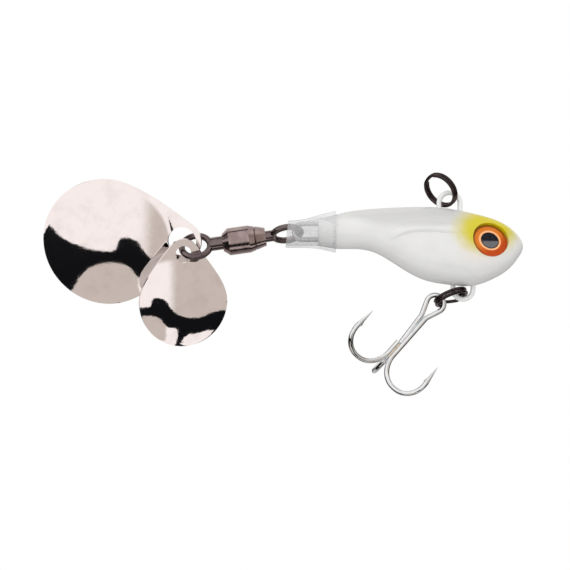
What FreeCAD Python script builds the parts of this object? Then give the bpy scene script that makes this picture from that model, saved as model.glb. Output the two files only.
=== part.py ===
import FreeCAD, Part
import math
import os

# A tail-spinner fishing lure: a fish-shaped lead casting on one bent wire, a treble hook under the belly,
# and a barrel swivel with two spinner blades behind a clear sleeve on the tail.
# Frame: millimetres, +X to the nose, +Z to the back, +Y to the fish's left side.
# The origin is the centre of the line-tie eye on the back, where the angler's line pulls.

# Casting
nose_reach = 9.76            # nose tip ahead of the line tie
tail_reach = 17.5            # tail face behind the line tie
back_height = -0.51          # highest line of the back
body_depth = 10.57           # back to belly
body_width = 7.0             # side to side at mid height of the head
tail_face_diameter = 3.73
tail_seat_diameter = 4.5     # under the big end of the sleeve
tail_axis_height = -3.82

# Stations along the casting in front of the sleeve. Each has the way from tail to nose, the back and the
# belly as shares of the depth, the width as a share of the width, and how much wider the belly is.
body_stations = [
    (0.152, 0.059, 0.531, 0.68, 0.00),
    (0.259, 0.027, 0.562, 0.77, 0.08),
    (0.367, 0.009, 0.708, 0.87, 0.18),
    (0.511, 0.000, 0.915, 0.98, 0.28),
    (0.642, 0.023, 0.983, 1.02, 0.30),
    (0.752, 0.079, 0.995, 1.00, 0.30),
    (0.869, 0.166, 0.889, 0.85, 0.28),
    (0.941, 0.270, 0.759, 0.62, 0.24),
    (0.982, 0.379, 0.622, 0.34, 0.15),
    (0.996, 0.440, 0.560, 0.17, 0.05),
]
nose_height_share = 0.50     # the nose tip, down from the back

# Bent wire through the casting
frame_wire = 0.66
tail_loop_width = 2.10       # centre to centre of its two legs
tail_loop_reach = 3.20       # from the tail face to the wire's centre at the end
tail_leg_inside = 5.5        # the cut end lies this far inside the tail face
line_tie_width = 2.80        # centre to centre of the legs
belly_eye_width = 2.67
belly_eye_x = 1.80
belly_eye_drop = 1.74        # wire's centre at the bottom, below the belly
belly_leg_inside = 3.0       # the cut end lies this far above the belly

# Eyes
eye_x = 5.40
eye_z = -4.70
eye_diameter = 4.80
eye_up_tilt = 31.0           # the seat faces this far up
eye_front_tilt = 14.0        # and this far forward
eye_seat_depth = 0.72        # below the skin at the eye's centre
eye_clearance = 0.04
foil_thickness = 0.10
lens_edge = 0.12
lens_dome = 0.72

# Split rings: two turns of round wire
ring_wire = 0.45
ring_gap = 0.03              # between the two turns
ring_cross = 48.0            # degrees over which the wire crosses from one turn to the other
ring_end_gap = 5.0           # degrees left free at each cut end
line_ring_diameter = 5.0
line_ring_across = 50.0      # the ring's long way falls this far below +X
line_ring_turn = 50.0        # its axis is turned this far from Y
line_ring_pass = (0.30, 0.00)    # x and z from the eye's centre, where the ring passes through it
line_ring_split = 200.0
belly_ring_diameter = 4.7
belly_ring_across = -22.0
belly_ring_turn = 74.0
belly_ring_pass = (0.35, 1.10)   # the same from the lowest wire of the belly eye
belly_ring_split = 120.0

# Treble hook
hook_wire = 0.70
hook_spread = 6.57           # point to the shank's axis
hook_length = 9.80           # neck to the bottom of the bend, centre line
hook_point_height = 5.90     # point above the bottom of the bend
hook_shank_bend = 3.20
hook_point_bend = 2.90
hook_taper = 2.5
barb_from_point = 1.75
barb_length = 1.0
barb_angle = 30.0
shank_gap = 0.05             # filled by the braze
hook_eye_radius = 1.15       # centre line
hook_eye_height = 2.25       # eye's centre above the neck
single_shank_top = 4.7       # below the neck
braze_length = 2.2
hook_slant = 41.5            # shank from the vertical
hook_hang = (-0.13, -0.12)   # eye's centre from the ring's wire, x and z

# Barrel swivel, measured back along its axis from the link in the tail loop
swivel_slope = 8.0           # its axis falls this far towards the blades
swivel_wire = 0.86
link_clearance = 0.08
front_eye_radius = 1.85      # centre line
front_eye_turn = -27.0       # about the swivel's axis, from level
rear_eye_radius = 1.90
rear_eye_turn = 48.0
front_neck_diameter = 1.5
rear_neck_diameter = 1.8
front_neck_length = 1.0      # between the eye's wire and the barrel
rear_neck_length = 1.7
barrel_length = 5.78
barrel_diameter = 3.64
barrel_front_diameter = 2.40
barrel_rear_diameter = 2.28
barrel_front_taper = 2.22
barrel_rear_taper = 0.83
barrel_groove_from_front = 1.40
barrel_groove = 0.10
head_diameter = 2.50
head_thickness = 0.50
turning_clearance = 0.05

# Blades, each domed and shaped like a drop
blade_lean = 12.0            # the lower side leans away to the fish's left
blade_rim_slope = 24.0       # steepest slope of the dome
large_blade_length = 21.8
large_blade_width = 17.0
large_hole_room = 3.01       # the hole is this much wider than the rear eye's wire
large_tip_margin = 0.67
large_widest = 8.8           # widest place from the far end
large_dome_radius = 20.0
large_edge_radius = 4.0      # hollow curve between the dome and the flat tip
large_thickness = 0.50
large_at_wire = 30.0         # degrees round the rear eye from its far end
large_hang = (-0.08, 0.26)   # hole's centre from the wire, x and z
large_heading = 180.0        # the far end points this way, from +X towards +Z
large_yaw = -12.0            # turned about Z, so that the far end lies farther to the fish's left
small_blade_length = 14.6
small_blade_width = 11.9
small_hole_room = 1.34
small_tip_margin = 0.96
small_widest = 6.1
small_dome_radius = 14.0
small_edge_radius = 2.8
small_thickness = 0.42
small_at_wire = -30.0
small_hang = (-0.11, -0.08)
small_heading = 271.5
small_yaw = 12.0

# Clear sleeve over the tail
sleeve_grip = 2.25           # length over the tail
sleeve_flare = 0.55          # wall at the big end
sleeve_wall = 0.32           # wall at the free end
sleeve_free_length = 4.35    # from the tail face to the free end
sleeve_room_up = 0.46        # inside, over the height of the swivel's front eye
sleeve_room_across = 0.40    # inside, over its width
sleeve_end_lean = 6.0        # the free end is cut at this slant
sleeve_face_wall = 0.42      # wall over the tail face
sleeve_bite = 0.2            # how far the bore would reach into the tail before it is cut away
sleeve_near = 1.6            # where the free part has nearly its full size, behind the tail face
sleeve_droop = 0.7           # share of the swivel's slope that the free end follows

Vec = FreeCAD.Vector
X_AXIS, Y_AXIS, Z_AXIS = Vec(1, 0, 0), Vec(0, 1, 0), Vec(0, 0, 1)


def rotated(vector, axis, degrees):
    return FreeCAD.Rotation(axis, degrees).multVec(vector)


def bent_path(corners, radii):
    """A wire of straight runs with an arc of the given radius at each inner corner."""
    edges, here = [], corners[0]
    for before, corner, after, radius in zip(corners, corners[1:], corners[2:], radii):
        into = (corner - before).normalize()
        out = (after - corner).normalize()
        turn = into.getAngle(out)
        reach = radius * math.tan(turn / 2)
        start, end = corner - into * reach, corner + out * reach
        middle = corner + (out - into).normalize() * radius * (1 / math.cos(turn / 2) - 1)
        if (start - here).Length > 1e-4:
            edges.append(Part.LineSegment(here, start).toShape())
        edges.append(Part.Arc(start, middle, end).toShape())
        here = end
    if (corners[-1] - here).Length > 1e-4:
        edges.append(Part.LineSegment(here, corners[-1]).toShape())
    return Part.Wire(edges)


def swept_rod(path, diameter):
    """Round wire along a path."""
    first = path.Edges[0]
    start = first.valueAt(first.FirstParameter)
    along = first.tangentAt(first.FirstParameter)
    circle = Part.Wire([Part.makeCircle(diameter / 2, start, along)])
    return path.makePipeShell([circle], True, False)


def bent_rod(corners, radii, diameter):
    return swept_rod(bent_path(corners, radii), diameter)


def disc(start, axis, length, diameter):
    return Part.makeCylinder(diameter / 2, length, start, axis)


def body_x(share):
    return -tail_reach + share * (nose_reach + tail_reach)


def body_z(share):
    return back_height - share * body_depth


def oval(x, middle, half_width, half_height, belly, power, lean=0.0):
    """A closed section across X; belly widens its lower half and lean slants it in x."""
    points = []
    for step in range(24):
        angle = 2 * math.pi * step / 24
        c, s = math.cos(angle), math.sin(angle)
        across = half_width * math.copysign(abs(c) ** (2 / power), c) * (1 - belly * s)
        up = half_height * math.copysign(abs(s) ** (2 / power), s)
        points.append(Vec(x + up * lean, across, middle + up))
    curve = Part.BSplineCurve()
    curve.interpolate(points, PeriodicFlag=True)
    return Part.Wire([curve.toShape()])


def tail_sections():
    """The two round sections under the sleeve."""
    ends = [(-tail_reach, tail_face_diameter), (-tail_reach + sleeve_grip, tail_seat_diameter)]
    return [oval(x, tail_axis_height, diameter / 2, diameter / 2, 0, 2) for x, diameter in ends]


def body_blank():
    sections = tail_sections()
    for share, back, belly, width, egg in body_stations:
        top, bottom = body_z(back), body_z(belly)
        half = (top - bottom) / 2
        sections.append(oval(body_x(share), (top + bottom) / 2, width * body_width / 2, half, egg, 2))
    nose = Part.Vertex(Vec(nose_reach, 0, body_z(nose_height_share)))
    return Part.makeLoft(sections + [nose], True, False)


tail_loop_x = -tail_reach - tail_loop_reach
belly_eye_z = body_z(1.0) - belly_eye_drop


def wire_frame():
    """Tail loop, then forward and up to the line tie, then down to the belly eye."""
    tail_half = tail_loop_width / 2
    tie_half = line_tie_width / 2
    belly_half = belly_eye_width / 2
    upper, lower = tail_axis_height + tail_half, tail_axis_height - tail_half
    front, back = belly_eye_x + belly_half, belly_eye_x - belly_half
    middle = body_z(0.5)
    corners = [
        Vec(-tail_reach + tail_leg_inside, 0, upper),
        Vec(tail_loop_x, 0, upper),
        Vec(tail_loop_x, 0, lower),
        Vec(-tie_half, 0, lower),
        Vec(-tie_half, 0, tie_half),
        Vec(tie_half, 0, tie_half),
        Vec(tie_half, 0, middle + 0.8),
        Vec(front, 0, middle - 2.2),
        Vec(front, 0, belly_eye_z),
        Vec(back, 0, belly_eye_z),
        Vec(back, 0, body_z(1.0) + belly_leg_inside),
    ]
    radii = [tail_half, tail_half, 1.5, tie_half, tie_half, 1.2, 1.2, belly_half, belly_half]
    return bent_rod(corners, radii, frame_wire)


def eye_axis(side):
    """The way the eye's seat faces; side is -1 on the right and 1 on the left."""
    up, front = math.radians(eye_up_tilt), math.radians(eye_front_tilt)
    return Vec(math.sin(front), side * math.cos(front) * math.cos(up), math.cos(front) * math.sin(up))


def eye_seat(blank, side):
    """Centre of the flat seat: under the skin at the eye's place."""
    line = Part.LineSegment(Vec(eye_x, 0, eye_z), Vec(eye_x, side * body_width, eye_z)).toShape()
    inside = line.common(blank)
    skin = max((vertex.Point for vertex in inside.Vertexes), key=lambda point: side * point.y)
    return skin - eye_axis(side) * eye_seat_depth


def eye_foil(seat, side):
    return disc(seat, eye_axis(side), foil_thickness, eye_diameter)


def eye_lens(seat, side):
    """A short disc under a cap of a sphere."""
    axis = eye_axis(side)
    base = seat + axis * foil_thickness
    half = eye_diameter / 2
    radius = (half**2 + lens_dome**2) / (2 * lens_dome)
    centre = base + axis * (lens_edge + lens_dome - radius)
    column = disc(base, axis, lens_edge + lens_dome + 1, eye_diameter)
    return column.common(Part.makeSphere(radius, centre))


def eye_pocket(seat, side):
    return disc(seat, eye_axis(side), 4.0, eye_diameter + 2 * eye_clearance)


def ring_radius(diameter):
    return (diameter - ring_wire) / 2


def split_ring(diameter):
    """Two turns about Z, each a torus, joined where the wire crosses from one to the other."""
    radius, half = ring_radius(diameter), ring_wire / 2
    level = (ring_wire + ring_gap) / 2
    turn = 360 - ring_cross - ring_end_gap

    def at(degrees, height):
        angle = math.radians(degrees)
        return Vec(radius * math.cos(angle), radius * math.sin(angle), height)

    low = Part.makeTorus(radius, half, Vec(0, 0, -level), Z_AXIS, 0, 360, turn)
    low.rotate(Vec(), Z_AXIS, ring_end_gap)
    high = Part.makeTorus(radius, half, Vec(0, 0, level), Z_AXIS, 0, 360, turn)
    start, end = at(-ring_cross, -level), at(0, level)
    crossing = Part.Wire([Part.Arc(start, at(-ring_cross / 2, 0), end).toShape()])
    pieces = [high, swept_rod(crossing, ring_wire)]
    pieces += [Part.makeSphere(half + 0.01, start), Part.makeSphere(half + 0.01, end)]
    return low.fuse(pieces).removeSplitter()


def ring_place(passing, diameter, across, turn, split):
    """Where a ring lies: its long way is in XZ, its axis is turned from Y about that long way."""
    along = rotated(X_AXIS, Y_AXIS, across)
    axis = rotated(Y_AXIS, along, turn)
    centre = Vec(passing[0], 0, passing[1]) - along * ring_radius(diameter)
    place = FreeCAD.Rotation(along, axis.cross(along), axis, "XZY")
    return FreeCAD.Placement(centre, place * FreeCAD.Rotation(Z_AXIS, split))


def line_ring_place():
    return ring_place(line_ring_pass, line_ring_diameter, line_ring_across, line_ring_turn, line_ring_split)


def belly_ring_place():
    passing = (belly_eye_x + belly_ring_pass[0], belly_eye_z + belly_ring_pass[1])
    return ring_place(passing, belly_ring_diameter, belly_ring_across, belly_ring_turn, belly_ring_split)


shank_offset = (hook_wire / 2 + shank_gap / 2) / math.sin(math.radians(60))
hook_point_lean = math.radians(5.6)


def hook_corners(azimuth):
    """Corners from the bend at the shank to the start of the tapered point, and the point itself."""
    out = Vec(math.cos(math.radians(azimuth)), math.sin(math.radians(azimuth)), 0)
    bottom = Z_AXIS * -hook_length
    heel = out * shank_offset + bottom
    toe = out * (hook_spread + hook_point_height * math.tan(hook_point_lean)) + bottom
    point = out * hook_spread + bottom + Z_AXIS * hook_point_height
    up = (point - toe).normalize()
    return [heel, toe, point - up * hook_taper], point, up, out


def hook_point(azimuth):
    """The tapered point with its barb."""
    corners, point, up, out = hook_corners(azimuth)
    taper = Part.makeCone(hook_wire / 2, 0.02, hook_taper, corners[2], up)
    root = point - up * barb_from_point - out * 0.06
    back = rotated(-up, up.cross(out), barb_angle)
    barb = Part.makeCone(0.17, 0.02, barb_length, root, back)
    return taper.fuse(barb)


def shank_top(azimuth, depth):
    angle = math.radians(azimuth)
    return Vec(shank_offset * math.cos(angle), shank_offset * math.sin(angle), -depth)


def treble_double():
    """One wire: up one shank, round the eye and down the other shank."""
    first, second = 90.0, -30.0
    side = hook_wire / 2 + shank_gap / 2
    top = hook_eye_height + hook_eye_radius
    wide = 1.47 * hook_eye_radius
    corners = hook_corners(first)[0][::-1]
    corners += [
        shank_top(first, single_shank_top),
        Vec(-side, 0, 0),
        Vec(-wide, 0, top),
        Vec(wide, 0, top),
        Vec(side, 0, 0),
        shank_top(second, single_shank_top),
    ]
    corners += hook_corners(second)[0]
    bends = [hook_point_bend, hook_shank_bend, 6.0, 1.2, 0.98 * hook_eye_radius]
    rod = bent_rod(corners, bends + bends[::-1], hook_wire)
    return rod.fuse([hook_point(first), hook_point(second)])


def treble_single():
    azimuth = 210.0
    corners = [shank_top(azimuth, single_shank_top)] + hook_corners(azimuth)[0]
    rod = bent_rod(corners, [hook_shank_bend, hook_point_bend], hook_wire)
    return rod.fuse(hook_point(azimuth))


def treble_braze(double, single):
    """Braze in the grooves between the three shanks."""
    start = Vec(0, 0, -single_shank_top - 0.2 - braze_length)
    core = disc(start, Z_AXIS, braze_length, 2 * shank_offset + 0.12)
    return core.cut(double).cut(single)


def treble_place():
    ring = belly_ring_place()
    wire = ring.Base + rotated(X_AXIS, Y_AXIS, belly_ring_across) * -ring_radius(belly_ring_diameter)
    turn = FreeCAD.Rotation(Y_AXIS, hook_slant)
    eye = wire + Vec(hook_hang[0], 0, hook_hang[1])
    return FreeCAD.Placement(eye - turn.multVec(Z_AXIS * hook_eye_height), turn)


swivel_back = rotated(Vec(-1, 0, 0), Y_AXIS, -swivel_slope)
link = Vec(tail_loop_x + frame_wire / 2 + link_clearance + swivel_wire / 2, 0, tail_axis_height)
front_eye_end = 2 * front_eye_radius
barrel_front = front_eye_end + front_neck_length
barrel_rear = barrel_front + barrel_length
rear_eye_centre = barrel_rear + rear_neck_length + rear_eye_radius
cavity_front = barrel_front + 1.9
cavity_rear = barrel_rear - 1.18


def on_axis(distance):
    return link + swivel_back * distance


def eye_across(turn):
    """The way across a swivel eye, square to the axis."""
    return rotated(Y_AXIS, swivel_back, -turn)


def swivel_eye(centre, radius, turn, neck_start, head_start, neck_diameter, towards):
    """A ring of wire with a neck and a button head; towards is 1 when the head lies behind the ring."""
    across = eye_across(turn)
    ring = Part.makeTorus(radius, swivel_wire / 2, on_axis(centre), swivel_back.cross(across))
    axis = swivel_back * towards
    neck = disc(on_axis(neck_start), axis, abs(head_start - neck_start), neck_diameter)
    head = disc(on_axis(head_start), axis, head_thickness, head_diameter)
    return ring.fuse([neck, head])


def swivel_front_eye():
    start = cavity_front + turning_clearance
    return swivel_eye(
        front_eye_radius, front_eye_radius, front_eye_turn, front_eye_end, start, front_neck_diameter, 1
    )


def swivel_rear_eye():
    end = cavity_rear - turning_clearance
    near_side = rear_eye_centre - rear_eye_radius
    return swivel_eye(
        rear_eye_centre, rear_eye_radius, rear_eye_turn, near_side, end, rear_neck_diameter, -1
    )


def swivel_barrel():
    """Hollow barrel turned about the axis: outside profile, groove, cavity and a bore at each end."""
    front, rear, full = barrel_front_diameter / 2, barrel_rear_diameter / 2, barrel_diameter / 2
    groove_at = barrel_groove_from_front
    slope = (full - front) / barrel_front_taper
    front_bore = front_neck_diameter / 2 + turning_clearance
    rear_bore = rear_neck_diameter / 2 + turning_clearance
    cavity = head_diameter / 2 + turning_clearance
    profile = [
        (0, front_bore),
        (0, front),
        (groove_at - barrel_groove, front + slope * (groove_at - barrel_groove)),
        (groove_at, front + slope * groove_at - barrel_groove),
        (groove_at + barrel_groove, front + slope * (groove_at + barrel_groove)),
        (barrel_front_taper, full),
        (barrel_length - barrel_rear_taper, full),
        (barrel_length, rear),
        (barrel_length, rear_bore),
        (cavity_rear - barrel_front, rear_bore),
        (cavity_rear - barrel_front, cavity),
        (cavity_front - barrel_front, cavity),
        (cavity_front - barrel_front, front_bore),
    ]
    start = on_axis(barrel_front)
    points = [start + swivel_back * along + Y_AXIS * out for along, out in profile]
    face = Part.Face(Part.makePolygon(points + points[:1]))
    return face.revolve(start, swivel_back, 360)


def blade_outline(length, width, hole, margin, widest):
    """A drop round the hole's centre: half an ellipse at the far end, a flank each side, a round tip."""
    tip = hole / 2 + margin
    far = length - tip
    wide_at = far - widest
    half = width / 2
    end = Part.Ellipse(Vec(far, 0, 0), Vec(wide_at, half, 0), Vec(wide_at, 0, 0))
    if widest < half:
        end = Part.Ellipse(Vec(wide_at, half, 0), Vec(far, 0, 0), Vec(wide_at, 0, 0))
    slant = math.radians(38)
    shoulder = Vec(-tip * math.sin(slant), tip * math.cos(slant), 0)
    back = Vec(math.cos(slant), math.sin(slant), 0)
    run = (Vec(wide_at, half, 0) - shoulder).Length
    flank = Part.BezierCurve()
    flank.setPoles([Vec(wide_at, half, 0), Vec(wide_at - 0.24 * run, half, 0),
                    shoulder + back * 0.5 * run, shoulder])
    upper = flank.toShape()
    lower = upper.mirror(Vec(), Y_AXIS)
    nose = Part.Arc(shoulder, Vec(-tip, 0, 0), Vec(shoulder.x, -shoulder.y, 0)).toShape()
    ellipse = end.toShape()
    box = Part.makeBox(far + 1, width + 2, 2, Vec(wide_at, -half - 1, -1))
    round_end = ellipse.common(box)
    return Part.Wire(Part.__sortEdges__(round_end.Edges + [upper, nose, lower]))


def blade_sheet(dome, edge, slope, thickness, reach):
    """A dome turned about Z that runs out through a hollow curve into a flat sheet at z = 0."""
    angle = math.radians(slope)
    outer, inner = dome + thickness / 2, dome - thickness / 2
    centre = edge - (dome + edge) * math.cos(angle)
    flat_at = (dome + edge) * math.sin(angle)

    def side(ball, hollow):
        """Arc of the dome, arc of the hollow curve and the flat, from the axis outwards."""
        def on_ball(turn):
            return Vec(ball * math.sin(turn), 0, centre + ball * math.cos(turn))

        def on_hollow(turn):
            return Vec(flat_at - hollow * math.sin(turn), 0, edge - hollow * math.cos(turn))

        end = on_hollow(0)
        return [
            Part.Arc(on_ball(0), on_ball(angle / 2), on_ball(angle)).toShape(),
            Part.Arc(on_ball(angle), on_hollow(angle / 2), end).toShape(),
            Part.LineSegment(end, Vec(reach, 0, end.z)).toShape(),
        ]

    top = side(outer, edge - thickness / 2)
    bottom = side(inner, edge + thickness / 2)
    rim = Part.LineSegment(Vec(reach, 0, thickness / 2), Vec(reach, 0, -thickness / 2)).toShape()
    axis = Part.LineSegment(Vec(0, 0, centre + outer), Vec(0, 0, centre + inner)).toShape()
    outline = Part.Wire(Part.__sortEdges__(top + [rim] + bottom + [axis]))
    return Part.Face(outline).revolve(Vec(), Z_AXIS, 360)


def blade(length, width, hole, margin, widest, dome, edge, thickness):
    """A drop cut from a domed sheet; the hole's centre is the origin and +Z is the domed side."""
    block = Part.Face(blade_outline(length, width, hole, margin, widest))
    block.translate(Vec(0, 0, -length / 4))
    block = block.extrude(Vec(0, 0, length / 2))
    drill = disc(Vec(0, 0, -length / 2), Z_AXIS, length, hole)
    sheet = blade_sheet(dome, edge, blade_rim_slope, thickness, 1.2 * length)
    sheet.translate(Vec(length - hole / 2 - margin - widest, 0, 0))
    return sheet.common(block.cut(drill))


def blade_place(at_wire, hang, heading, yaw):
    """The hole hangs on the rear eye's wire; heading turns the blade in its leaning plane."""
    angle = math.radians(at_wire)
    across = eye_across(rear_eye_turn)
    reach = (swivel_back * math.cos(angle) + across * math.sin(angle)) * rear_eye_radius
    hole = on_axis(rear_eye_centre) + reach + Vec(hang[0], 0, hang[1])
    lean = FreeCAD.Rotation(Z_AXIS, yaw) * FreeCAD.Rotation(X_AXIS, 90 + blade_lean)
    return FreeCAD.Placement(hole, lean * FreeCAD.Rotation(Z_AXIS, heading))


def large_blade_place():
    return blade_place(large_at_wire, large_hang, large_heading, large_yaw)


def small_blade_place():
    return blade_place(small_at_wire, small_hang, small_heading, small_yaw)


def tail_sleeve(blank):
    """Soft tube: round where it grips the tail, squeezed oval where it holds the swivel's eye."""
    grip_end = -tail_reach + sleeve_grip
    near = -tail_reach - sleeve_near
    free_end = -tail_reach - sleeve_free_length
    droop = math.tan(math.radians(swivel_slope)) * sleeve_droop
    free_middle = link.z + (free_end - link.x) * droop
    near_middle = (tail_axis_height * 2 + free_middle) / 3
    lean = math.tan(math.radians(sleeve_end_lean))
    turn = math.radians(abs(front_eye_turn))
    height = front_eye_radius * math.sin(turn) + (swivel_wire + sleeve_room_up) / 2
    depth = front_eye_radius * math.cos(turn) + (swivel_wire + sleeve_room_across) / 2

    def tube(grip, face, free, longer):
        """A closed form; grip, face and free say how much larger it is at each place."""
        seat = tail_seat_diameter / 2 + grip
        end = tail_face_diameter / 2 + face
        return Part.makeLoft([
            oval(grip_end + longer, tail_axis_height, seat, seat, 0, 2),
            oval(-tail_reach, tail_axis_height, end, end, 0, 2),
            oval(near, near_middle, depth * 0.95 + free, height * 1.06 + free, 0, 3),
            oval(free_end - longer, free_middle, depth + free, height + free, 0, 4, lean),
        ], True, False)

    outer = tube(sleeve_flare, sleeve_face_wall, sleeve_wall, 0)
    inner = tube(-sleeve_bite, -sleeve_bite, 0, 0.05)
    return outer.cut(inner).cut(blank)


def moved(shape, place):
    shape.Placement = place
    return shape


def make_parts():
    blank = body_blank()
    frame = wire_frame()
    parts = {"wire_frame": frame}
    body = blank.cut(frame)
    for name, side in (("right", -1), ("left", 1)):
        seat = eye_seat(blank, side)
        body = body.cut(eye_pocket(seat, side))
        parts["eye_foil_" + name] = eye_foil(seat, side)
        parts["eye_lens_" + name] = eye_lens(seat, side)
    parts["body_casting"] = body
    parts["line_tie_split_ring"] = moved(split_ring(line_ring_diameter), line_ring_place())
    parts["belly_split_ring"] = moved(split_ring(belly_ring_diameter), belly_ring_place())
    double, single = treble_double(), treble_single()
    parts["treble_braze"] = moved(treble_braze(double, single), treble_place())
    parts["treble_double_hook"] = moved(double, treble_place())
    parts["treble_single_hook"] = moved(single, treble_place())
    parts["swivel_front_eye"] = swivel_front_eye()
    parts["swivel_barrel"] = swivel_barrel()
    parts["swivel_rear_eye"] = swivel_rear_eye()
    parts["large_blade"] = moved(
        blade(large_blade_length, large_blade_width, swivel_wire + large_hole_room, large_tip_margin,
              large_widest, large_dome_radius, large_edge_radius, large_thickness), large_blade_place())
    parts["small_blade"] = moved(
        blade(small_blade_length, small_blade_width, swivel_wire + small_hole_room, small_tip_margin,
              small_widest, small_dome_radius, small_edge_radius, small_thickness), small_blade_place())
    parts["tail_sleeve"] = tail_sleeve(blank)
    return parts


os.makedirs("parts", exist_ok=True)
for name, shape in make_parts().items():
    shape.exportStep("parts/" + name + ".step")
    print(name, round(shape.Volume, 3), "mm3,", len(shape.Solids), "solid,", shape.isValid())
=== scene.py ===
import math

import bpy
import numpy as np
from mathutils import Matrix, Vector


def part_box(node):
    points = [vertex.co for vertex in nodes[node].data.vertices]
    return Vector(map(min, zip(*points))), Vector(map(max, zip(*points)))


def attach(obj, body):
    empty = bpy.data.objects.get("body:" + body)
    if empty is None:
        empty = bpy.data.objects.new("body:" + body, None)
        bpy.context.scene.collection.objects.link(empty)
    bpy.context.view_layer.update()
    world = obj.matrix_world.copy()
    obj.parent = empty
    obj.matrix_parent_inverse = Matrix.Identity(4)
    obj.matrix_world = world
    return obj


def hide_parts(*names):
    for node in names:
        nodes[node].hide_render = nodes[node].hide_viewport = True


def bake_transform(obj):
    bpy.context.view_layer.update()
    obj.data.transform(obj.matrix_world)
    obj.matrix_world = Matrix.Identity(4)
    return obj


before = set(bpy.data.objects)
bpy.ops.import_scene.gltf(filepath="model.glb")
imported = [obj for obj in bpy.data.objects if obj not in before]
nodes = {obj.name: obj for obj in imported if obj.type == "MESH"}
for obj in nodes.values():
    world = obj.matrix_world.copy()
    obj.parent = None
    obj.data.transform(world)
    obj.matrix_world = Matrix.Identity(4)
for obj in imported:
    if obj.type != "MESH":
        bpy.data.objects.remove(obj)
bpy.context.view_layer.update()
mm = 0.001
print("frame loaded:", len(nodes), "nodes")


# small helpers for node trees

def newTree(name):
    material = bpy.data.materials.new(name)
    material.use_nodes = True
    material.node_tree.nodes.clear()
    return material, material.node_tree


def plug(tree, socket, value):
    if isinstance(value, bpy.types.NodeSocket):
        tree.links.new(value, socket)
    elif socket.type == "RGBA":
        socket.default_value = (*value, 1)
    else:
        socket.default_value = value


def addNode(tree, kind, settings=None, **inputs):
    # an input's name is its socket's name with _ for each space
    node = tree.nodes.new("ShaderNode" + kind)
    for key, value in (settings or {}).items():
        setattr(node, key, value)
    for key, value in inputs.items():
        plug(tree, node.inputs[key.replace("_", " ")], value)
    return node


def operationNode(tree, kind, operation, values):
    node = addNode(tree, kind, {"operation": operation})
    for socket, value in zip(node.inputs, values):
        plug(tree, socket, value)
    return node


def calc(tree, operation, *values):
    return operationNode(tree, "Math", operation, values).outputs[0]


def vectorCalc(tree, operation, *values):
    node = operationNode(tree, "VectorMath", operation, values)
    return node.outputs["Value" if operation in ("LENGTH", "DOT_PRODUCT") else "Vector"]


def ease(tree, value, low, high, toLow=0.0, toHigh=1.0):
    # smooth step from toLow at low to toHigh at high
    node = addNode(tree, "MapRange", {"interpolation_type": "SMOOTHSTEP"}, Value=value,
                   From_Min=low, From_Max=high, To_Min=toLow, To_Max=toHigh)
    return node.outputs["Result"]


def mixColour(tree, factor, first, second):
    node = addNode(tree, "Mix", {"data_type": "RGBA"})
    plug(tree, node.inputs[0], factor)
    plug(tree, node.inputs[6], first)
    plug(tree, node.inputs[7], second)
    return node.outputs[2]


def curveOf(tree, value, points):
    # a smooth curve through points, both axes from 0 to 1
    node = tree.nodes.new("ShaderNodeFloatCurve")
    line = node.mapping.curves[0]
    for _ in range(len(points) - 2):
        line.points.new(0.5, 0.5)
    for point, place in zip(line.points, points):
        point.location = place
    node.mapping.update()
    plug(tree, node.inputs["Value"], value)
    return node.outputs["Value"]


def rampOf(tree, value, stops):
    node = tree.nodes.new("ShaderNodeValToRGB")
    node.color_ramp.interpolation = "EASE"
    slots = node.color_ramp.elements
    for _ in range(len(stops) - 2):
        slots.new(0.5)
    for slot, (place, colour) in zip(slots, stops):
        slot.position = place
        slot.color = (*colour, 1)
    plug(tree, node.inputs["Fac"], value)
    return node.outputs["Color"]


def noiseOf(tree, vector, scale, detail=2.0, roughness=0.5):
    node = addNode(tree, "TexNoise", Vector=vector, Scale=scale, Detail=detail, Roughness=roughness)
    return node.outputs["Fac"]


def swing(tree, noise, spread):
    # noise moved so that it goes to both sides of 0
    return calc(tree, "MULTIPLY", calc(tree, "SUBTRACT", noise, 0.5), spread)


def objectPlace(tree):
    # the object's own coordinates in millimetres
    node = addNode(tree, "TexCoord")
    place = vectorCalc(tree, "SCALE", node.outputs["Object"])
    place.node.inputs["Scale"].default_value = 1 / mm
    return place


def axesOf(tree, vector):
    return addNode(tree, "SeparateXYZ", Vector=vector).outputs


def bumpOf(tree, heightMm, strength=1.0):
    node = addNode(tree, "Bump", Height=heightMm, Strength=strength, Distance=mm)
    return node.outputs["Normal"]


def finishMaterial(tree, **settings):
    shader = addNode(tree, "BsdfPrincipled", **settings)
    output = addNode(tree, "OutputMaterial")
    tree.links.new(shader.outputs[0], output.inputs["Surface"])


def dress(nodeName, material):
    slots = nodes[nodeName].data.materials
    slots.clear()
    slots.append(material)


# small helpers for surfaces

def meshPiece(name, points, faces, material):
    # points in mm
    mesh = bpy.data.meshes.new(name)
    mesh.from_pydata((points * mm).tolist(), [], faces)
    if material:
        mesh.materials.append(material)
    mesh.polygons.foreach_set("use_smooth", np.ones(len(mesh.polygons), bool))
    mesh.update()
    piece = bpy.data.objects.new(name, mesh)
    bpy.context.scene.collection.objects.link(piece)
    return piece


def gridQuads(rows, columns, closedRows=False, closedColumns=False):
    # quads between neighbouring points of a grid, which may close on itself either way
    row, column = np.meshgrid(np.arange(rows if closedRows else rows - 1),
                              np.arange(columns if closedColumns else columns - 1), indexing="ij")
    nextRow, nextColumn = (row + 1) % rows, (column + 1) % columns
    corners = (row * columns + column, row * columns + nextColumn,
               nextRow * columns + nextColumn, nextRow * columns + column)
    return np.stack(corners, -1).reshape(-1, 4).tolist()


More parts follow.
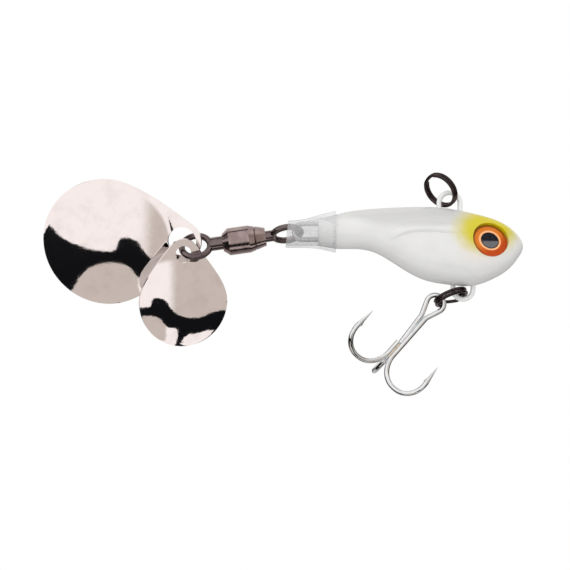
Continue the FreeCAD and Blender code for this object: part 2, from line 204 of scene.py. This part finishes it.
def smoothThrough(knots, values, at):
    # cubic through the values, with the slope at each knot from its neighbours
    slopes = np.gradient(values, knots)
    index = np.clip(np.searchsorted(knots, at) - 1, 0, len(knots) - 2)
    width = knots[index + 1] - knots[index]
    t = (at - knots[index]) / width
    return ((1 + 2 * t) * (1 - t) ** 2 * values[index]
            + t * (1 - t) ** 2 * width * slopes[index]
            + t * t * (3 - 2 * t) * values[index + 1]
            + t * t * (t - 1) * width * slopes[index + 1])


# pearl paint with the airbrushed head and painted shade along the back

paint = {
    "pearl": (0.725, 0.722, 0.71),
    "cloud": (0.69, 0.688, 0.68),
    "cloudScale": 0.35,               # per mm
    # painted shade: the back above a level is greyer, standing in for the shade on the top of the
    # casting
    "back": (0.575, 0.573, 0.568),
    "backShadeLevel": -3.05,               # mm, where the painted shade on the back begins
    "backShadeRise": 1.1,                  # mm more at the tail
    "backShadeRiseEnds": (-14, -8),        # mm along x, from the whole rise to none
    "backShadeBlend": (-0.7, 0.8),         # mm below and above the level
    "yellow": (0.60, 0.515, 0.001),
    "yellowCentre": (4.9, -3.6),      # x and z in mm
    "yellowReach": (5.3, 3.8),
    "yellowEdge": (0.42, 1.06),       # shares of the reach where it starts to fade and is gone
    "peach": (0.80, 0.60, 0.42),
    "peachCentre": (3.9, -6.2),
    "peachReach": (4.2, 2.6),
    "peachEdge": (0.1, 1.0),
    "peachStrength": 0.28,
    "wobble": 0.22,                   # unevenness of the airbrushed edges, as a share of the reach
    "wobbleScale": 1.1,
    "grainScale": 9,
    "grainHeight": 0.003,             # mm
    "roughness": 0.34,
    "coat": 0.35,
    "coatRoughness": 0.12,
    "underSkin": 0.12,                # share of the light that goes into the pearl
    "underSkinDepth": (0.6, 0.6, 0.5),
}


def patch(tree, x, z, centre, reach, wobble):
    # distance from the centre as a share of an ellipse's reach
    across = calc(tree, "DIVIDE", calc(tree, "SUBTRACT", x, centre[0]), reach[0])
    up = calc(tree, "DIVIDE", calc(tree, "SUBTRACT", z, centre[1]), reach[1])
    square = calc(tree, "ADD", calc(tree, "MULTIPLY", across, across),
                  calc(tree, "MULTIPLY", up, up))
    return calc(tree, "ADD", calc(tree, "SQRT", square), wobble)


def pearlPaint():
    material, tree = newTree("pearl_paint")
    place = objectPlace(tree)
    x, _, z = axesOf(tree, place)
    cloud = noiseOf(tree, place, paint["cloudScale"], 3)
    colour = mixColour(tree, ease(tree, cloud, 0.3, 0.75), paint["pearl"], paint["cloud"])
    # painted shade on the back: greyer above a level that rises towards the tail
    level = ease(tree, x, *paint["backShadeRiseEnds"], paint["backShadeLevel"] + paint["backShadeRise"],
                 paint["backShadeLevel"])
    back = ease(tree, calc(tree, "SUBTRACT", z, level), *paint["backShadeBlend"])
    colour = mixColour(tree, back, colour, paint["back"])
    wobble = swing(tree, noiseOf(tree, place, paint["wobbleScale"], 4, 0.6), paint["wobble"])
    peach = patch(tree, x, z, paint["peachCentre"], paint["peachReach"], wobble)
    peach = ease(tree, peach, *paint["peachEdge"], paint["peachStrength"], 0)
    colour = mixColour(tree, peach, colour, paint["peach"])
    yellow = patch(tree, x, z, paint["yellowCentre"], paint["yellowReach"], wobble)
    colour = mixColour(tree, ease(tree, yellow, *paint["yellowEdge"], 1, 0), colour, paint["yellow"])
    grain = noiseOf(tree, place, paint["grainScale"], 3, 0.6)
    height = calc(tree, "MULTIPLY", grain, paint["grainHeight"])
    gloss = ease(tree, cloud, 0.2, 0.8, paint["roughness"] - 0.05, paint["roughness"] + 0.06)
    finishMaterial(tree, Base_Color=colour, Roughness=gloss, Normal=bumpOf(tree, height),
                   Coat_Weight=paint["coat"], Coat_Roughness=paint["coatRoughness"],
                   Specular_IOR_Level=0.5, Subsurface_Weight=paint["underSkin"],
                   Subsurface_Radius=tuple(depth * mm for depth in paint["underSkinDepth"]),
                   Subsurface_Scale=1.0)
    return material


pearl = pearlPaint()
dress("body_casting", pearl)
print("body painted")


# the raised line along each flank, a low strip of its own laid on the casting

ridge = {
    # mm: x and z along the line, tail end first
    "line": [(-8.9, -5.35), (-7.9, -4.75), (-6.9, -4.15), (-5.6, -3.68), (-4.0, -3.50),
             (-2.0, -3.52), (0.0, -3.68), (2.2, -3.98)],
    "height": 0.28,
    "above": 1.25,                    # mm from the crest to the strip's upper rim
    "below": 0.50,
    "sunk": 0.06,                     # the rims lie this far under the skin
    "thick": 0.25,
    "fadeShare": 0.28,                # share of the length over which each end rises
    "outside": 6.0,                   # mm from the middle plane, clear of the casting
    "alongSteps": 120,
    "acrossSteps": 24,
}


def ontoSkin(points, faces, side):
    # the points thrown sideways onto the casting
    probe = meshPiece("probe", points, faces, None)
    wrap = probe.modifiers.new("wrap", "SHRINKWRAP")
    wrap.target = nodes["body_casting"]
    wrap.wrap_method = "PROJECT"
    wrap.use_project_x, wrap.use_project_y, wrap.use_project_z = False, True, False
    wrap.use_positive_direction = side < 0
    wrap.use_negative_direction = side > 0
    graph = bpy.context.evaluated_depsgraph_get()
    laid = probe.evaluated_get(graph).to_mesh()
    flat = np.empty(len(laid.vertices) * 3)
    laid.vertices.foreach_get("co", flat)
    bpy.data.objects.remove(probe)
    return flat.reshape(-1, 3) / mm


def flankRidge(name, side, material):
    # across the strip the height is a bell, steep below the crest and gentle above, less at the
    # ends; the strip is closed by the same surface moved inwards by its thickness
    line = np.array(ridge["line"])
    along = np.linspace(line[0, 0], line[-1, 0], ridge["alongSteps"])
    crest = smoothThrough(line[:, 0], line[:, 1], along)
    share = np.linspace(-1, 1, ridge["acrossSteps"])
    offset = share * np.where(share < 0, ridge["below"], ridge["above"])
    slope = np.gradient(crest, along)
    tangent = np.stack([np.ones_like(slope), slope], 1) / np.sqrt(1 + slope**2)[:, None]
    x = along[:, None] - tangent[:, 1:2] * offset
    z = crest[:, None] + tangent[:, 0:1] * offset
    start = np.stack([x, np.full_like(x, side * ridge["outside"]), z], -1)
    rows, columns = x.shape
    skin = ontoSkin(start.reshape(-1, 3), gridQuads(rows, columns), side)
    skin = skin.reshape(rows, columns, 3)
    normal = np.cross(np.gradient(skin, axis=0), np.gradient(skin, axis=1))
    normal /= np.linalg.norm(normal, axis=-1, keepdims=True)
    normal *= np.sign(normal[..., 1:2]) * side
    step = np.arange(rows)
    ends = np.clip(np.minimum(step, step[::-1]) / (ridge["fadeShare"] * rows), 0, 1)
    ends = ends * ends * (3 - 2 * ends)
    bell = (1 - share**2) ** 2
    lift = (ridge["height"] + ridge["sunk"]) * ends[:, None] * bell - ridge["sunk"]
    top = skin + normal * lift[..., None]
    under = skin - normal * ridge["thick"]
    loop = np.concatenate([top, under[:, ::-1]], 1)
    count = loop.shape[1]
    faces = gridQuads(rows, count, closedColumns=True)
    faces += [list(range(count))[::-1], list(range((rows - 1) * count, rows * count))]
    if side > 0:
        faces = [face[::-1] for face in faces]
    piece = meshPiece(name, loop.reshape(-1, 3), faces, material)
    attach(piece, "lure_body")


flankRidge("flank_line_right", -1, pearl)
flankRidge("flank_line_left", 1, pearl)
print("flank lines laid")


# the frame's wire: painted with the body in front, bare steel inside the sleeve

wire = {
    "paint": (0.80, 0.80, 0.79),
    "worn": (0.60, 0.59, 0.57),
    "wornMost": 0.35,
    "wearScale": 2.6,             # per mm
    "wearHeight": 0.006,          # mm
    "steel": (0.56, 0.60, 0.61),
    "bareBehind": -16.5,          # mm along x
    "bareBlend": 0.5,
    "coat": 0.3,
    "coatRoughness": 0.1,
}


def frameWire():
    material, tree = newTree("frame_wire")
    place = objectPlace(tree)
    x = axesOf(tree, place)[0]
    bare = ease(tree, x, wire["bareBehind"], wire["bareBehind"] + wire["bareBlend"], 1, 0)
    wear = noiseOf(tree, place, wire["wearScale"], 4, 0.65)
    worn = ease(tree, wear, 0.35, 0.8, 0, wire["wornMost"])
    colour = mixColour(tree, bare, mixColour(tree, worn, wire["paint"], wire["worn"]), wire["steel"])
    height = calc(tree, "MULTIPLY", wear, wire["wearHeight"])
    finishMaterial(tree, Base_Color=colour, Metallic=calc(tree, "MULTIPLY", bare, 0.9),
                   Roughness=ease(tree, wear, 0.3, 0.8, 0.22, 0.38), Coat_Weight=wire["coat"],
                   Coat_Roughness=wire["coatRoughness"], Normal=bumpOf(tree, height))
    return material


dress("wire_frame", frameWire())


# eyes: a printed foil under a clear dome

eye = {
    "radius": 2.4,               # mm
    "pupil": (0.004, 0.005, 0.012),
    # painted reflection: grey for the pupil's lower half
    "glint": (0.125, 0.125, 0.135),
    "cream": (0.92, 0.47, 0.22),
    "orange": (0.66, 0.175, 0.012),
    "red": (0.46, 0.055, 0.003),
    "rim": (0.26, 0.080, 0.008),
    # shares of the radius, from the middle out
    "rings": [(0.0, "pupil"), (0.505, "pupil"), (0.54, "cream"), (0.60, "cream"),
              (0.67, "orange"), (0.82, "orange"), (0.93, "rim"), (1.0, "rim")],
    "ragged": 0.035,             # unevenness of the rings
    "redFrom": (0.58, 0.68),     # shares of the radius where the red may begin
    "redLean": 0.6,              # how far the red leans to the front
    "redHeight": (-0.6, 1.9),    # mm downwards from the middle
    "glintWithin": (0.44, 0.49),
    "glintHeight": (-0.25, 0.05),
}


def middleOf(nodeName):
    low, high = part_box(nodeName)
    return (low + high) / 2


def eyeFoil(side):
    # rings of colour by distance from the line through the foil's and the lens's middles
    material, tree = newTree("eye_foil_" + side)
    place = objectPlace(tree)
    middle = middleOf("eye_foil_" + side) / mm
    axis = (middleOf("eye_lens_" + side) / mm - middle).normalized()
    across = axis.cross(Vector((0, 0, 1))).normalized()
    upward = across.cross(axis)
    upward = upward if upward.z > 0 else -upward
    away = vectorCalc(tree, "SUBTRACT", place, tuple(middle))
    radius = vectorCalc(tree, "LENGTH", vectorCalc(tree, "CROSS_PRODUCT", away, tuple(axis)))
    spokes = noiseOf(tree, place, 5.5, 4, 0.7)
    share = calc(tree, "ADD", calc(tree, "DIVIDE", radius, eye["radius"]),
                 swing(tree, spokes, eye["ragged"]))
    rings = rampOf(tree, share, [(at, eye[name]) for at, name in eye["rings"]])
    height = vectorCalc(tree, "DOT_PRODUCT", away, tuple(upward))
    forward = vectorCalc(tree, "DOT_PRODUCT", away, (1, 0, 0))
    lower = calc(tree, "SUBTRACT", calc(tree, "MULTIPLY", forward, eye["redLean"]), height)
    redness = calc(tree, "MULTIPLY", ease(tree, lower, *eye["redHeight"]),
                   ease(tree, share, *eye["redFrom"]))
    colour = mixColour(tree, redness, rings, eye["red"])
    # painted reflection: the pupil's lower half greyed as a glint in the foil's print
    glint = calc(tree, "MULTIPLY", ease(tree, height, *eye["glintHeight"], 1, 0),
                 ease(tree, share, *eye["glintWithin"], 1, 0))
    colour = mixColour(tree, glint, colour, eye["glint"])
    finishMaterial(tree, Base_Color=colour, Roughness=ease(tree, spokes, 0.3, 0.8, 0.26, 0.4),
                   Specular_IOR_Level=0.12)
    return material


def clearAlpha(tree, blend, body):
    # opacity of a clear skin: its own haze, rising to a mirror at the edge, nothing on inner faces
    edge = addNode(tree, "LayerWeight", Blend=blend).outputs["Fresnel"]
    inside = addNode(tree, "NewGeometry").outputs["Backfacing"]
    outer = calc(tree, "MULTIPLY", edge, calc(tree, "SUBTRACT", 1, inside))
    return calc(tree, "MAXIMUM", outer, body)


lens = {
    "colour": (0.96, 0.96, 0.96),
    "edgeBlend": 0.12,
    "gap": 0.03,                 # mm between the foil and the lens's flat underside
    "edge": 0.12,                # height of the rim, and below that of the dome on it
    "dome": 0.72,
    "wallDrop": 0.02,            # the wall stops this far below the rim's height
    "rimRound": 0.05,
    "undersideRing": 1.2,        # radius of the ring that divides the flat underside
    "arcShare": 0.985,           # share of the sphere's arc where the dome starts
    "arcSteps": 24,
    "bendSteps": 5,
    "around": 96,
}


def eyeLens():
    material, tree = newTree("clear_lens")
    grain = noiseOf(tree, objectPlace(tree), 1.2, 2)
    finishMaterial(tree, Base_Color=lens["colour"], Metallic=1.0,
                   Alpha=clearAlpha(tree, lens["edgeBlend"], 0.0),
                   Roughness=ease(tree, grain, 0.2, 0.8, 0.02, 0.05))
    return material


def lensDome(side, material):
    # a profile turned about the foil's axis: flat underside, rounded lower rim, short wall, arc
    # of a sphere; all above the rim comes down by the gap, so the top stays at its own height
    foil = np.array([vertex.co for vertex in nodes["eye_foil_" + side].data.vertices]) / mm
    middle = foil.mean(0)
    axis = np.linalg.svd(foil - middle)[2][2]
    axis = axis * np.sign(axis[1] * middle[1])
    base = middle + axis * (np.abs((foil - middle) @ axis).max() + lens["gap"])
    half, rise, corner = eye["radius"], lens["dome"], lens["rimRound"]
    ball = (half**2 + rise**2) / (2 * rise)
    arc = np.linspace(math.asin(half / ball) * lens["arcShare"], 0, lens["arcSteps"], endpoint=False)
    bend = np.linspace(0, math.pi / 2, lens["bendSteps"])
    out = np.concatenate([[lens["undersideRing"]], half - corner + corner * np.sin(bend), [half],
                          ball * np.sin(arc)])
    up = np.concatenate([[0], corner - corner * np.cos(bend), [lens["edge"] - lens["wallDrop"]],
                         lens["edge"] + rise - ball + ball * np.cos(arc)])
    up[1 + len(bend):] -= lens["gap"]
    count, rows = lens["around"], len(out)
    turn = np.linspace(0, 2 * math.pi, count, endpoint=False)
    across = np.cross(axis, (0, 0, 1.0))
    across /= np.linalg.norm(across)
    spoke = np.cos(turn)[:, None] * across + np.sin(turn)[:, None] * np.cross(axis, across)
    rings = base + out[:, None, None] * spoke + up[:, None, None] * axis
    poles = np.stack([base, base + axis * (lens["edge"] + rise - lens["gap"])])
    points = np.concatenate([rings.reshape(-1, 3), poles])
    step, last = np.arange(count), (rows - 1) * count
    beyond = (step + 1) % count
    fans = np.concatenate([
        np.stack([beyond, step, np.full(count, rows * count)], 1),
        np.stack([last + step, last + beyond, np.full(count, rows * count + 1)], 1)]).tolist()
    quads = gridQuads(rows, count, closedColumns=True)
    piece = meshPiece("eye_dome_" + side, points, quads + fans, material)
    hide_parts("eye_lens_" + side)
    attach(piece, "lure_body")


lensMaterial = eyeLens()
for side in ("right", "left"):
    dress("eye_foil_" + side, eyeFoil(side))
    lensDome(side, lensMaterial)
print("eyes dressed")


# plated metals, all from one recipe

metals = {
    "black_nickel": {
        "colour": (0.040, 0.034, 0.036), "tint": (0.085, 0.060, 0.062), "roughness": 0.14,
        "pieces": ("line_tie_split_ring", "belly_split_ring")},
    "hook_steel": {
        "colour": (0.86, 0.91, 0.925), "tint": (0.76, 0.81, 0.83), "roughness": 0.06,
        "pieces": ("treble_double_hook", "treble_single_hook")},
    "braze": {
        "colour": (0.72, 0.66, 0.52), "tint": (0.55, 0.50, 0.42), "roughness": 0.3,
        "pieces": ("treble_braze",)},
    "swivel_barrel": {
        "colour": (0.40, 0.33, 0.32), "tint": (0.30, 0.235, 0.23), "roughness": 0.15,
        "pieces": ("swivel_barrel",)},
    "swivel_wire": {
        "colour": (0.20, 0.165, 0.165), "tint": (0.13, 0.10, 0.105), "roughness": 0.16,
        "pieces": ("swivel_front_eye", "swivel_rear_eye")},
}
metalRipple = 0.0036             # mm, height of the drawing marks


def plated(name):
    # metal with slow changes of tint, faint drawing marks and fine specks in its gloss
    look = metals[name]
    material, tree = newTree(name)
    place = objectPlace(tree)
    slow = noiseOf(tree, place, 0.8, 3)
    fine = noiseOf(tree, place, 7.0, 4, 0.65)
    colour = mixColour(tree, ease(tree, slow, 0.35, 0.7), look["colour"], look["tint"])
    rough = ease(tree, fine, 0.3, 0.8, look["roughness"] * 0.7, look["roughness"] * 1.5)
    finishMaterial(tree, Base_Color=colour, Metallic=1.0, Roughness=rough,
                   Normal=bumpOf(tree, calc(tree, "MULTIPLY", fine, metalRipple)))
    return material


for name, look in metals.items():
    metal = plated(name)
    for member in look["pieces"]:
        dress(member, metal)
print("rings, hook and swivel plated")


# blades: polished nickel, beaten very slightly uneven so that reflections have ragged edges

bladeLook = {
    "nickel": (0.93, 0.895, 0.885),
    "haze": (0.84, 0.80, 0.79),
    "hazeScale": 0.5,            # per mm
    "ragged": 0.0042,            # mm
    "raggedScale": 1.9,
    "slow": 0.006,
    "slowScale": 0.30,
    "roughness": 0.035,
}


def bladeNickel():
    material, tree = newTree("blade_nickel")
    place = objectPlace(tree)
    haze = noiseOf(tree, place, bladeLook["hazeScale"], 4, 0.6)
    colour = mixColour(tree, ease(tree, haze, 0.4, 0.8), bladeLook["nickel"], bladeLook["haze"])
    ragged = calc(tree, "MULTIPLY", noiseOf(tree, place, bladeLook["raggedScale"], 2, 0.55),
                  bladeLook["ragged"])
    slow = calc(tree, "MULTIPLY", noiseOf(tree, place, bladeLook["slowScale"], 1),
                bladeLook["slow"])
    rough = ease(tree, haze, 0.3, 0.8, bladeLook["roughness"], bladeLook["roughness"] * 2)
    finishMaterial(tree, Base_Color=colour, Metallic=1.0, Roughness=rough,
                   Normal=bumpOf(tree, calc(tree, "ADD", ragged, slow)))
    return material


bladeMaterial = bladeNickel()
dress("large_blade", bladeMaterial)
dress("small_blade", bladeMaterial)
print("blades polished")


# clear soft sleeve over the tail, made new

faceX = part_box("body_casting")[0].x / mm
sleeveLow, sleeveHigh = (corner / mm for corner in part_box("tail_sleeve"))
sleeve = {
    # mm, from the big end to the free end: x, middle height, half width, half height,
    # squareness, wall
    "stations": [
        (sleeveHigh.x, -3.82, 2.78, 2.78, 2.0, 0.50),
        (faceX, -3.86, 2.30, 2.26, 2.0, 0.40),
        (faceX - 1.9, -4.06, 2.44, 1.90, 2.8, 0.30),
        (sleeveLow.x + 0.45, -4.17, 2.56, 1.80, 3.6, 0.28),
    ],
    "aroundSteps": 128,
    "alongSteps": 56,
    "endSteps": 5,
    "endRound": 0.10,
    "endLean": math.tan(math.radians(6)),
    "leanLength": 3,             # mm from the free end over which the lean comes in
    "colour": (0.75, 0.75, 0.762),
    "clouds": (0.65, 0.65, 0.67),
    "cloudHeight": 0.03,         # mm
    "streakHeight": 0.05,
    "haze": 0.26,                # how far each wall veils what is behind it
    "edgeBlend": 0.42,
    "roughness": 0.22,
}


def tailSleeve(material):
    # superellipse rings along x: out along the outer wall, round the end, back along the inner wall
    table = np.array(sleeve["stations"])[::-1]
    knots = table[:, 0]
    along = np.linspace(knots[-1], knots[0], sleeve["alongSteps"])
    outer = np.stack([smoothThrough(knots, table[:, k], along) for k in range(1, 6)], 1)
    turn = np.linspace(0, math.pi, sleeve["endSteps"] + 2)[1:-1]
    around = np.linspace(0, 2 * math.pi, sleeve["aroundSteps"], endpoint=False)
    c, s = np.cos(around)[None, :], np.sin(around)[None, :]
    leanLength = sleeve["leanLength"]

    def ringsAt(x, rows, offset):
        power = (2 / rows[:, 3])[:, None]
        across = (rows[:, 1] - offset)[:, None] * np.sign(c) * np.abs(c) ** power
        up = (rows[:, 2] - offset)[:, None] * np.sign(s) * np.abs(s) ** power
        nearEnd = np.clip((sleeveLow.x + leanLength - x) / leanLength, 0, 1)[:, None]
        lean = up * sleeve["endLean"] * nearEnd
        return np.stack([x[:, None] + lean, across, rows[:, 0][:, None] + up], -1)

    def endRings(which, outward):
        rows = np.repeat(outer[which][None, :], len(turn), 0)
        half = rows[:, 4] / 2
        x = along[which] + outward * sleeve["endRound"] * np.sin(turn)
        return ringsAt(x, rows, half - half * np.cos(turn))

    wall = outer[:, 4]
    rings = np.concatenate([
        ringsAt(along, outer, 0 * wall),
        endRings(-1, -1),
        ringsAt(along[::-1], outer[::-1], wall[::-1]),
        endRings(0, 1)[::-1],
    ])
    quads = gridQuads(len(rings), sleeve["aroundSteps"], True, True)
    return meshPiece("tail_sleeve_soft", rings.reshape(-1, 3), quads, material)


def clearSleeve():
    material, tree = newTree("clear_sleeve")
    place = objectPlace(tree)
    cloud = noiseOf(tree, place, 0.9, 4, 0.6)
    streak = noiseOf(tree, vectorCalc(tree, "MULTIPLY", place, (0.25, 1.6, 1.6)), 1.0, 3)
    colour = mixColour(tree, ease(tree, cloud, 0.35, 0.8), sleeve["colour"], sleeve["clouds"])
    height = calc(tree, "ADD", calc(tree, "MULTIPLY", cloud, sleeve["cloudHeight"]),
                  calc(tree, "MULTIPLY", streak, sleeve["streakHeight"]))
    haze = ease(tree, streak, 0.3, 0.8, sleeve["haze"] * 0.8, sleeve["haze"] * 1.3)
    rough = ease(tree, cloud, 0.3, 0.8, sleeve["roughness"] - 0.08, sleeve["roughness"] + 0.08)
    finishMaterial(tree, Base_Color=colour, Alpha=clearAlpha(tree, sleeve["edgeBlend"], haze),
                   Roughness=rough, Normal=bumpOf(tree, height, 0.5))
    return material


softSleeve = tailSleeve(clearSleeve())
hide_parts("tail_sleeve")
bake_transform(softSleeve)
print("sleeve made")


# studio: pale floor, soft light from a surrounding white tent with a dark gap at the front

studio = {
    "centre": (-21.93, -10.92),   # mm, x and z that the camera looks at
    "width": 76.0,                # mm across the view
    "lens": 200.0,
    "sensor": 36,
    "floorBelow": 60.0,
    "floorRadius": 150.0,
    "floorSteps": 96,
    "floor": (0.90, 0.90, 0.90),
    "floorShade": (0.86, 0.86, 0.86),
    # the dark gap in the tent: (degrees round from the front, degrees up)
    "upperEdge": [(-180, 6), (-78, -3), (-64, -14), (-50, -21), (-34, -26.5), (-19, -27),
                  (-13, -18), (-3, -19), (8, -31), (18, -37), (42, -38), (60, -30), (76, -25),
                  (180, -20)],
    "lowerEdge": [(-180, -50), (-80, -47), (-60, -42), (-45, -38), (-22, -37), (-10, -40),
                  (2, -51), (19, -54), (25, -67), (31, -70), (36, -67), (42, -57), (50, -56),
                  (60, -52), (76, -45), (180, -50)],
    "sole": (-71, -75),           # below this the tent's foot is dark
    # shares of a turn, 0.5 in front: where the panels above and below the gap change colour
    "beigeAbove": (0.505, 0.54),
    "whiteBelow": (0.494, 0.508),
    # shares of the way up, 0.5 level: the white top, the dark crown, the far side's bright top
    "whiteTop": (0.66, 0.78),
    "crown": (0.925, 0.94),
    "farTop": (0.79, 0.83),
    # shares of a turn from the front: where the front ends, and the dark strip at each side
    "frontEnds": (0.22, 0.25),
    "stripEnds": (0.31, 0.37),
    # the far side of the tent from its foot to its top
    "backdrop": [(0.10, (0.30, 0.27, 0.26)), (0.34, (0.62, 0.57, 0.55)),
                 (0.47, (0.16, 0.15, 0.15)), (0.52, (0.22, 0.21, 0.21)),
                 (0.60, (0.95, 0.90, 0.885)), (0.80, (0.95, 0.90, 0.885))],
    "edgeBlur": 0.004,
    "white": (1.0, 0.93, 0.915),
    "beige": (0.60, 0.53, 0.485),
    "dark": (0.006, 0.006, 0.007),
    "lightFrom": (-0.15, -0.86, 0.48),
    "softLight": (0.50, 1.32),    # away from that direction and towards it
}


def degreesToShare(points):
    return [((azimuth + 180) / 360, (elevation + 90) / 180) for azimuth, elevation in points]


def lightTent():
    # the reflected colours by direction: azimuth from the front, elevation from level
    world = bpy.data.worlds.new("light_tent")
    world.use_nodes = True
    tree = world.node_tree
    tree.nodes.clear()
    white, beige, dark = studio["white"], studio["beige"], studio["dark"]
    blur = studio["edgeBlur"]
    direction = addNode(tree, "TexCoord").outputs["Generated"]
    x, y, z = axesOf(tree, direction)
    azimuth = calc(tree, "ARCTAN2", x, calc(tree, "MULTIPLY", y, -1))
    turnShare = calc(tree, "ADD", calc(tree, "DIVIDE", azimuth, 2 * math.pi), 0.5)
    upShare = calc(tree, "ADD", calc(tree, "DIVIDE", calc(tree, "ARCSINE", z), math.pi), 0.5)
    upper = curveOf(tree, turnShare, degreesToShare(studio["upperEdge"]))
    lower = curveOf(tree, turnShare, degreesToShare(studio["lowerEdge"]))
    above = ease(tree, calc(tree, "SUBTRACT", upShare, upper), -blur, blur)
    below = ease(tree, calc(tree, "SUBTRACT", lower, upShare), -blur, blur)

    soleTop, soleFoot = [(level + 90) / 180 for level in studio["sole"]]
    lowerColour = mixColour(tree, ease(tree, turnShare, *studio["whiteBelow"]), beige, white)
    lowerColour = mixColour(tree, ease(tree, upShare, soleFoot, soleTop, 1, 0), lowerColour, dark)
    upperColour = mixColour(tree, ease(tree, turnShare, *studio["beigeAbove"]), white, beige)
    upperColour = mixColour(tree, ease(tree, upShare, *studio["whiteTop"]), upperColour, white)
    upperColour = mixColour(tree, ease(tree, upShare, *studio["crown"]), upperColour, dark)
    front = mixColour(tree, above, dark, upperColour)
    front = mixColour(tree, below, front, lowerColour)

    turned = calc(tree, "ABSOLUTE", calc(tree, "SUBTRACT", turnShare, 0.5))
    far = rampOf(tree, upShare, studio["backdrop"])
    back = mixColour(tree, ease(tree, turned, *studio["stripEnds"]), dark, far)
    overhead = calc(tree, "MULTIPLY", ease(tree, upShare, *studio["farTop"]),
                    ease(tree, upShare, *studio["crown"], 1, 0))
    back = mixColour(tree, overhead, back, white)
    mirrored = mixColour(tree, ease(tree, turned, *studio["frontEnds"]), front, back)

    toLight = vectorCalc(tree, "DOT_PRODUCT", direction, studio["lightFrom"])
    glow = ease(tree, toLight, -1.0, 1.0, *studio["softLight"])
    soft = addNode(tree, "CombineXYZ", X=glow, Y=glow, Z=glow).outputs[0]
    ray = addNode(tree, "LightPath")
    colour = mixColour(tree, ray.outputs["Is Glossy Ray"], soft, mirrored)
    seen = calc(tree, "MAXIMUM", ray.outputs["Is Camera Ray"], ray.outputs["Is Transmission Ray"])
    colour = mixColour(tree, seen, colour, (1, 1, 1))
    background = addNode(tree, "Background", Color=colour, Strength=1.0)
    output = addNode(tree, "OutputWorld")
    tree.links.new(background.outputs[0], output.inputs["Surface"])
    bpy.context.scene.world = world


def floorDisc():
    # points on a circle, one face
    radius, steps = studio["floorRadius"], studio["floorSteps"]
    level = studio["centre"][1] - studio["floorBelow"]
    around = np.linspace(0, 2 * math.pi, steps, endpoint=False)
    ring = np.stack([studio["centre"][0] + radius * np.cos(around), radius * np.sin(around),
                     np.full(steps, level)], 1)
    material, tree = newTree("pale_floor")
    grain = noiseOf(tree, objectPlace(tree), 0.4, 3)
    finishMaterial(tree, Base_Color=mixColour(tree, grain, studio["floor"], studio["floorShade"]),
                   Roughness=0.7)
    floor = meshPiece("floor", ring, [list(range(steps))], material)
    floor.visible_glossy = False
    floor.visible_diffuse = False


def camera():
    data = bpy.data.cameras.new("camera")
    data.lens = studio["lens"]
    data.sensor_width = studio["sensor"]
    data.clip_start = 0.01
    distance = studio["width"] * mm * data.lens / data.sensor_width
    seen = bpy.data.objects.new("camera", data)
    seen.location = (studio["centre"][0] * mm, -distance, studio["centre"][1] * mm)
    seen.rotation_euler = (math.pi / 2, 0, 0)
    bpy.context.scene.collection.objects.link(seen)
    bpy.context.scene.camera = seen


lightTent()
floorDisc()
camera()
bpy.context.scene.view_settings.view_transform = "Standard"
print("studio ready")
